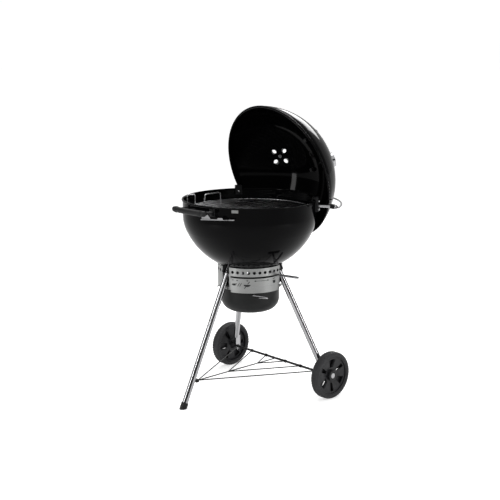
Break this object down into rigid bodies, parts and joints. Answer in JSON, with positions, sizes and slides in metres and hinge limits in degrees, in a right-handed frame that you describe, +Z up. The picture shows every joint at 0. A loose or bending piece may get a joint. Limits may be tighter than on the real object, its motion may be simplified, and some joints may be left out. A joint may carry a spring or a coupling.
{
  "type": "kettle charcoal grill",
  "caption": "Round black kettle charcoal grill on a tripod with wheels, its domed lid parked open in a fold-down holder, over an ash bucket and a wire rack.",
  "frame": {"origin": "on the floor, midway along the grill's overall width and depth; the bowl's axis stands 27.6 mm towards -X from it", "axes": "+Z up; +X towards the wheels and the parked lid, -X towards the footed leg and the bowl's handle; -Y towards the cook, so +Y is the back"},
  "size_m": [0.8533, 0.6862, 1.2351],
  "materials": {
    "enamel": "gloss black porcelain enamel",
    "black_steel": "satin black powder coat",
    "chrome": "bright plated steel",
    "band_aluminium": "brushed sheet",
    "grate_steel": "plated steel wire",
    "coal_steel": "plain steel wire, dulled by heat",
    "bucket_steel": "dark satin coated steel",
    "blade_steel": "aluminised steel sheet",
    "nylon": "glass-filled nylon, fine texture",
    "wheel_plastic": "moulded dark grey plastic",
    "tyre_plastic": "moulded tread, slightly rough",
    "dial_face": "printed white dial",
    "dial_glass": "clear flat pane",
    "needle_red": "painted pointer"
  },
  "bodies": {
    "frame": {"bowl": "enamel", "bowl_badge": "band_aluminium", "cook_supports": "grate_steel", "coal_supports": "grate_steel", "coal_grate": "coal_steel", "leg_left": "chrome", "leg_front": "chrome", "leg_rear": "chrome", "foot_cap": "nylon", "axle_front": "chrome", "axle_rear": "chrome", "bottom_rack": "black_steel", "ash_ring": "band_aluminium", "control_panel": "band_aluminium", "ring_hook": "chrome", "bowl_grip": "nylon", "handle_bracket_front": "black_steel", "handle_bracket_rear": "black_steel", "tool_hook": "chrome", "holder_bracket_front": "black_steel", "holder_bracket_rear": "black_steel", "holder_bolts_front": "chrome", "holder_bolts_rear": "chrome", "holder_arm_front": "chrome", "holder_arm_rear": "chrome", "holder_end_front": "nylon", "holder_end_rear": "nylon", "socket_left": "black_steel", "socket_front": "black_steel", "socket_rear": "black_steel"},
    "wheel_front": {"wheel_front_tyre": "tyre_plastic", "wheel_front_centre": "wheel_plastic"},
    "wheel_rear": {"wheel_rear_tyre": "tyre_plastic", "wheel_rear_centre": "wheel_plastic"},
    "ash_catcher": {"ash_bucket": "bucket_steel", "bucket_handle": "chrome"},
    "sweeper": {"sweeper_shaft": "blade_steel", "sweeper_blades": "blade_steel", "damper_lever": "blade_steel"},
    "grate": {"cooking_grate": "grate_steel", "grate_lift_loop": "grate_steel"},
    "flap_rear": {"grate_flap_rear": "grate_steel", "flap_loop": "grate_steel"},
    "flap_front": {"grate_flap_front": "grate_steel"},
    "lid_holder": {"holder_wire": "chrome"},
    "lid": {"lid_shell": "enamel", "lid_vent_rivet": "chrome", "lid_grip": "nylon", "lid_handle_posts": "chrome", "lid_handle_nuts": "chrome", "lid_heat_shield": "grate_steel", "thermometer_case": "chrome", "thermometer_dial": "dial_face", "thermometer_glass": "dial_glass"},
    "lid_vent": {"lid_vent_damper": "band_aluminium"},
    "needle": {"thermometer_needle": "needle_red"}
  },
  "joints": [
    {"name": "wheel_front_spin", "type": "hinge", "parent": "frame", "child": "wheel_front", "pos_m": [0.1397, -0.3222, 0.1016], "axis": [0, 1, 0], "continuous": true},
    {"name": "wheel_rear_spin", "type": "hinge", "parent": "frame", "child": "wheel_rear", "pos_m": [0.1397, 0.3222, 0.1016], "axis": [0, 1, 0], "continuous": true},
    {"name": "ash_catcher_drop", "type": "slide", "parent": "frame", "child": "ash_catcher", "axis": [0, 0, -1], "range_m": [0, 0.15]},
    {"name": "sweeper_turn", "type": "hinge", "parent": "frame", "child": "sweeper", "pos_m": [-0.0276, 0, 0.531], "axis": [0, 0, 1], "range_deg": [-85, 0]},
    {"name": "grate_lift", "type": "slide", "parent": "frame", "child": "grate", "axis": [-0.3499, 0, 0.9368], "range_m": [0, 0.35]},
    {"name": "flap_rear_fold", "type": "hinge", "parent": "grate", "child": "flap_rear", "pos_m": [-0.0276, 0.172, 0.803], "axis": [1, 0, 0], "range_deg": [0, 92]},
    {"name": "flap_front_fold", "type": "hinge", "parent": "grate", "child": "flap_front", "pos_m": [-0.0276, -0.172, 0.803], "axis": [-1, 0, 0], "range_deg": [0, 100]},
    {"name": "holder_fold", "type": "hinge", "parent": "frame", "child": "lid_holder", "pos_m": [0.1624, 0, 0.826], "axis": [0, 1, 0], "range_deg": [0, 60]},
    {"name": "lid_lift_off", "type": "slide", "parent": "frame", "child": "lid", "axis": [0.5201, 0, 0.8541], "range_m": [0, 0.32]},
    {"name": "lid_vent_turn", "type": "hinge", "parent": "lid", "child": "lid_vent", "pos_m": [0.30629, 0.1598, 0.98765], "axis": [0.8379, 0.4978, 0.2238], "range_deg": [-12, 33]},
    {"name": "thermometer_needle_turn", "type": "hinge", "parent": "lid", "child": "needle", "pos_m": [0.30845, -0.16276, 0.99704], "axis": [0.8304, -0.4985, 0.2488], "range_deg": [-250, 0]}
  ]
}
